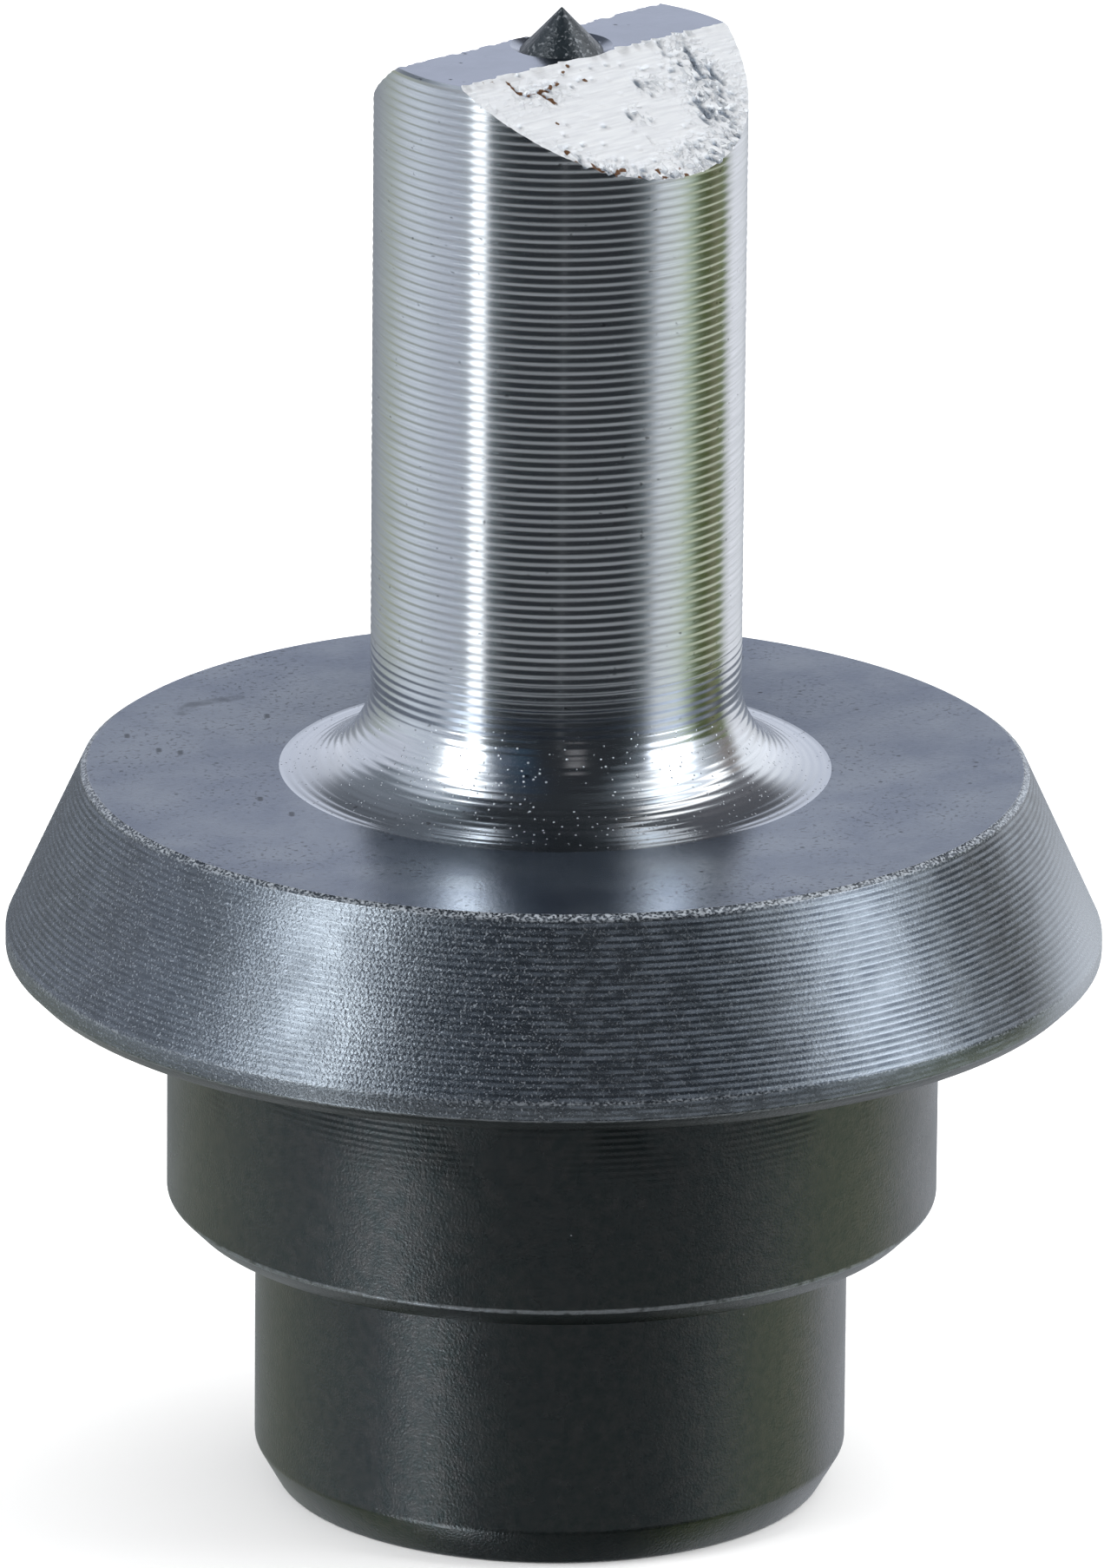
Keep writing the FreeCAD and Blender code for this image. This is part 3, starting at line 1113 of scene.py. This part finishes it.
UPPER_ROOM = [
    (-180, (0.10, 0.11, 0.13)),
    (-145, (0.26, 0.29, 0.34)),
    (-118, (0.20, 0.23, 0.27)),
    (-104, (0.52, 0.58, 0.66)),
    (-86, (0.64, 0.70, 0.80)),
    (-76, (1.00, 1.05, 1.10)),
    (-70, SOFT_BOX),
    (-57, SOFT_BOX),
    (-52, (1.00, 1.05, 1.10)),
    (-44, (0.55, 0.61, 0.70)),
    (-37, (0.06, 0.08, 0.11)),
    (-20, (0.03, 0.045, 0.07)),
    (0, DARK_SIDE),
    (32, DARK_SIDE),
    (46, (0.13, 0.155, 0.18)),
    (60, (0.60, 0.65, 0.70)),
    (68, (1.50, 1.52, 1.55)),
    (76, RIGHT_BOX),
    (89, RIGHT_BOX),
    (98, (0.90, 0.96, 1.05)),
    (105, (0.95, 1.00, 1.10)),
    (109, (2.40, 2.45, 2.50)),
    (117, (2.40, 2.45, 2.50)),
    (122, (0.22, 0.24, 0.27)),
    (134, (0.18, 0.18, 0.20)),
    (180, (0.10, 0.11, 0.13)),
]
CEILING = [
    (-180, (0.05, 0.055, 0.065)),
    (-125, (0.17, 0.20, 0.23)),
    (-106, (0.42, 0.49, 0.55)),
    (-90, (0.22, 0.26, 0.32)),
    (-60, (0.06, 0.07, 0.09)),
    (0, DARK_SIDE),
    (60, (0.07, 0.08, 0.09)),
    (90, (0.14, 0.16, 0.19)),
    (102, (2.00, 2.05, 2.10)),
    (117, (2.80, 2.82, 2.85)),
    (122, (0.16, 0.18, 0.20)),
    (180, (0.05, 0.055, 0.065)),
]
OVERHEAD = [
    (-180, DARK_SIDE),
    (180, DARK_SIDE),
]
LAYERS = [                    # elevations over which each layer takes over from the one below
    ((-72.0, -60.0), UNDER_BENCH),
    ((-40.0, -32.0), BENCH),
    ((-20.0, -18.9), WALL),
    ((-3.0, 5.0), WINDOWS),
    ((21.0, 31.0), UPPER_ROOM),
    ((51.0, 60.0), CEILING),
    ((64.0, 70.0), OVERHEAD),
]
STRAIGHT_DOWN = (0.10, 0.11, 0.12)    # below the lowest layer
ROOM_PLAIN = (1.06, 1.06, 1.06)       # the room as it lights matt surfaces
CAMERA_WHITE = (1.0, 1.0, 1.0)
print("room:", len(LAYERS), "layers,", sum(len(layer[1]) for layer in LAYERS), "stops")

# %% [markdown]
# The world turns a ray's direction into an angle round the horizon, looks that up in each
# layer's ramp, and lets the layers give way to one another as the ray rises. Only
# reflections see this room. Matt surfaces are lit by an even white, so that their colours
# stay as written, and the camera itself sees plain white.

# %% Room
def make_room():
    world = bpy.data.worlds.new("room")
    bpy.context.scene.world = world
    world.use_nodes = True
    world.cycles.sampling_method = "NONE"
    direction = add(world, "ShaderNodeTexCoord").outputs["Generated"]
    across = vector_math(world, "DOT_PRODUCT", {0: direction, 1: right})
    behind = vector_math(world, "DOT_PRODUCT", {0: direction, 1: -away})
    angle = calculate(world, "ARCTAN2", across, behind)
    full_turn = {0: angle, 1: 1 / (2 * math.pi), 2: 0.5}
    turn = add(world, "ShaderNodeMath", full_turn, operation="MULTIPLY_ADD").outputs["Value"]
    rise = add(world, "ShaderNodeSeparateXYZ", {"Vector": direction}).outputs["Z"]

    def round_the_horizon(stops):
        return ramp(world, turn, [((degrees + 180) / 360, colour) for degrees, colour in stops])

    seen = STRAIGHT_DOWN
    for (start, end), stops in LAYERS:
        reached = share_between(world, rise, math.sin(math.radians(start)), math.sin(math.radians(end)))
        seen = blend(world, reached, seen, round_the_horizon(stops))
    rays = add(world, "ShaderNodeLightPath").outputs
    reflected = blend(world, rays["Is Glossy Ray"], ROOM_PLAIN, seen)
    colour = blend(world, rays["Is Camera Ray"], reflected, CAMERA_WHITE)
    background = world.node_tree.nodes["Background"]
    world.node_tree.links.new(colour, background.inputs["Color"])
    print(world.name, "has", len(world.node_tree.nodes), "nodes")


make_room()

# %% [markdown]
# Reflections take the lamps from the room's ramps, so the lamps themselves are kept out of
# reflections. Two of them stand where the soft boxes are seen, and a broad one behind on
# the right lights the matt slope. Together they give the floor its shadow.

# %% Lamps
LAMP_DISTANCE = 1.0
lamp_target = Vector((0, 0, collar_top))


def studio_point(turn, rise):
    """A lamp's place: its angle from the camera's side, to the right, and its rise."""
    turn, rise = math.radians(turn), math.radians(rise)
    level = right * math.sin(turn) - away * math.cos(turn)
    return (level * math.cos(rise) + Vector((0, 0, math.sin(rise)))) * LAMP_DISTANCE + lamp_target


def add_lamp(name, turn, rise, size, watts):
    data = bpy.data.lights.new(name, "AREA")
    data.shape = "RECTANGLE"
    data.size, data.size_y = size
    data.energy = watts
    lamp = bpy.data.objects.new(name, data)
    bpy.context.collection.objects.link(lamp)
    lamp.location = studio_point(turn, rise)
    lamp.rotation_euler = (lamp_target - lamp.location).to_track_quat("-Z", "Z").to_euler()
    lamp.visible_camera = False
    lamp.visible_glossy = False
    print(name, "at", [round(c, 2) for c in lamp.location])


add_lamp("left_lamp", -56, 44, (0.22, 0.5), 5)
add_lamp("right_lamp", 78, 44, (0.26, 0.5), 5)
add_lamp("rear_lamp", 130, 52, (0.8, 0.8), 4)

# %% [markdown]
# The floor is a plain pale plane. It takes the punch's shadow, and it stays out of the
# reflections, where the room's bench stands for it. It lies a hair below the base, so that
# the two faces don't share one plane.

# %% Floor
FLOOR_DROP = 0.02 * MM

deselect_all()
bpy.ops.mesh.primitive_plane_add(size=4, location=(0, 0, -FLOOR_DROP))
floor = bpy.context.object
floor.name = "floor"
floor_paint = named_material("floor_paint")
finish_with(floor_paint, Base_Color=(0.93, 0.93, 0.93), Roughness=0.9)
floor.data.materials.append(floor_paint)
floor.visible_glossy = False
floor.visible_shadow = False
print("floor", round(floor.dimensions.x, 2), "m wide")

# %% [markdown]
# Colours render as they are written with the Standard view transform.

# %% Settings
bpy.context.scene.view_settings.view_transform = "Standard"
bpy.context.view_layer.update()
